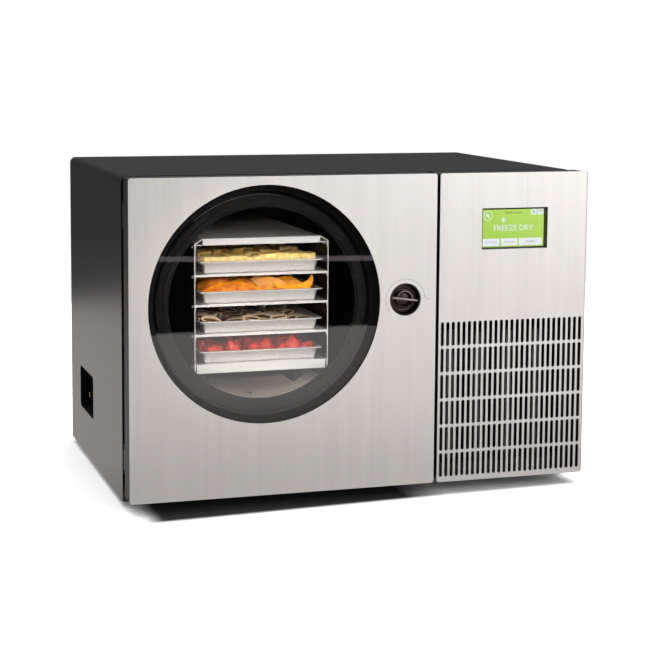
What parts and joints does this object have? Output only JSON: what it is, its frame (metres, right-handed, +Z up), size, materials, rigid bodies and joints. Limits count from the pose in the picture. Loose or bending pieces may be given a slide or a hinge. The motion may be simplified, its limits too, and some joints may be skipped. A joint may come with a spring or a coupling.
{
  "type": "countertop freeze dryer",
  "caption": "Countertop freeze dryer with a round-windowed door, trays on a heated rack in a vacuum chamber, and a side control panel over vents.",
  "frame": {"origin": "on the surface the feet stand on, below the middle of the body's box", "axes": "+X to the right seen from the front, +Y from the front to the rear, +Z up"},
  "size_m": [0.751, 0.54, 0.5145],
  "materials": {
    "cover_paint": "satin black powder coat",
    "front_steel": "vertically brushed stainless steel",
    "chamber_steel": "drawn stainless steel, satin",
    "rack_steel": "bright folded sheet",
    "tray_steel": "pressed stainless steel, satin",
    "body_plastic": "moulded black plastic, fine grain",
    "fan_plastic": "moulded black plastic",
    "window_acrylic": "clear cast acrylic, polished",
    "screen_glass": "touch glass",
    "screen": "lit colour display",
    "gasket_rubber": "grey-brown silicone rubber",
    "black_rubber": "black rubber",
    "knob_metal": "bronze-black coated metal",
    "steel_parts": "zinc-plated steel",
    "hinge_steel": "black zinc",
    "copper": "copper tube",
    "brass_fittings": "turned brass",
    "foam": "cream insulating foam",
    "heater_silicone": "red-brown silicone heater",
    "nylon": "pale nylon-sleeved cable",
    "can_paint": "black enamel",
    "fin_aluminium": "mill-finish fins",
    "motor_paint": "grey enamel",
    "board": "green circuit board",
    "tube_grey": "grey vacuum tube",
    "rocker_red": "moulded red plastic",
    "lever_red": "dipped red lever"
  },
  "bodies": {
    "cabinet": {"cover": "cover_paint", "base_pan": "cover_paint", "back_panel": "cover_paint", "bulkhead": "cover_paint", "feet": "black_rubber", "panel_screws": "steel_parts", "chamber_drum": "chamber_steel", "neck_ring": "body_plastic", "chamber_gasket": "gasket_rubber", "evaporator_coil": "copper", "foam_jacket": "foam", "feedthrough": "body_plastic", "strike_cup": "chamber_steel", "hinge_brackets": "hinge_steel", "hinge_pins": "steel_parts", "control_skin": "front_steel", "control_body": "body_plastic", "display_bezel": "body_plastic", "touch_glass": "screen_glass", "display": "screen", "rack_frame": "rack_steel", "top_shelf": "rack_steel", "middle_shelves": "rack_steel", "bottom_shelf": "rack_steel", "heater_mats": "heater_silicone", "rack_runners": "body_plastic", "rack_screws": "steel_parts", "rack_cable": "nylon", "tray_1": "tray_steel", "tray_2": "tray_steel", "tray_3": "tray_steel", "tray_4": "tray_steel", "compressor": "can_paint", "compressor_grommets": "black_rubber", "condenser": "fin_aluminium", "fan_shroud": "body_plastic", "fan_motor": "motor_paint", "filter_drier": "copper", "refrigerant_lines": "copper", "power_supply": "fin_aluminium", "relay_board": "board", "port_box": "body_plastic", "vacuum_fitting": "brass_fittings", "drain_valve": "brass_fittings", "chamber_tubes": "tube_grey", "power_inlet": "body_plastic", "power_switch": "body_plastic", "pump_outlet": "body_plastic"},
    "door": {"door_skin": "front_steel", "door_body": "body_plastic", "door_screws": "steel_parts", "window_disc": "window_acrylic", "window_seal": "black_rubber", "knob_cup": "body_plastic", "hinge_leaves": "hinge_steel"},
    "knob": {"turn_knob": "knob_metal", "latch_spindle": "steel_parts"},
    "fan": {"fan_rotor": "fan_plastic"},
    "rocker": {"switch_rocker": "rocker_red"},
    "lever": {"drain_lever": "lever_red"}
  },
  "joints": [
    {"name": "door_swing", "type": "hinge", "parent": "cabinet", "child": "door", "pos_m": [-0.3685, -0.22, 0.3171], "axis": [0, 0, -1], "range_deg": [0, 110]},
    {"name": "knob_turn", "type": "hinge", "parent": "door", "child": "knob", "pos_m": [0.0645, -0.26, 0.3171], "axis": [0, 1, 0], "range_deg": [0, 90]},
    {"name": "fan_spin", "type": "hinge", "parent": "cabinet", "child": "fan", "pos_m": [0.24835, -0.1475, 0.1325], "axis": [0, 1, 0], "continuous": true},
    {"name": "rocker_tilt", "type": "hinge", "parent": "cabinet", "child": "rocker", "pos_m": [0.2775, 0.26, 0.0635], "axis": [1, 0, 0], "range_deg": [0, 18]},
    {"name": "lever_turn", "type": "hinge", "parent": "cabinet", "child": "lever", "pos_m": [-0.3438, 0.136, 0.10942], "axis": [0, 0, 1], "range_deg": [0, 90]}
  ]
}
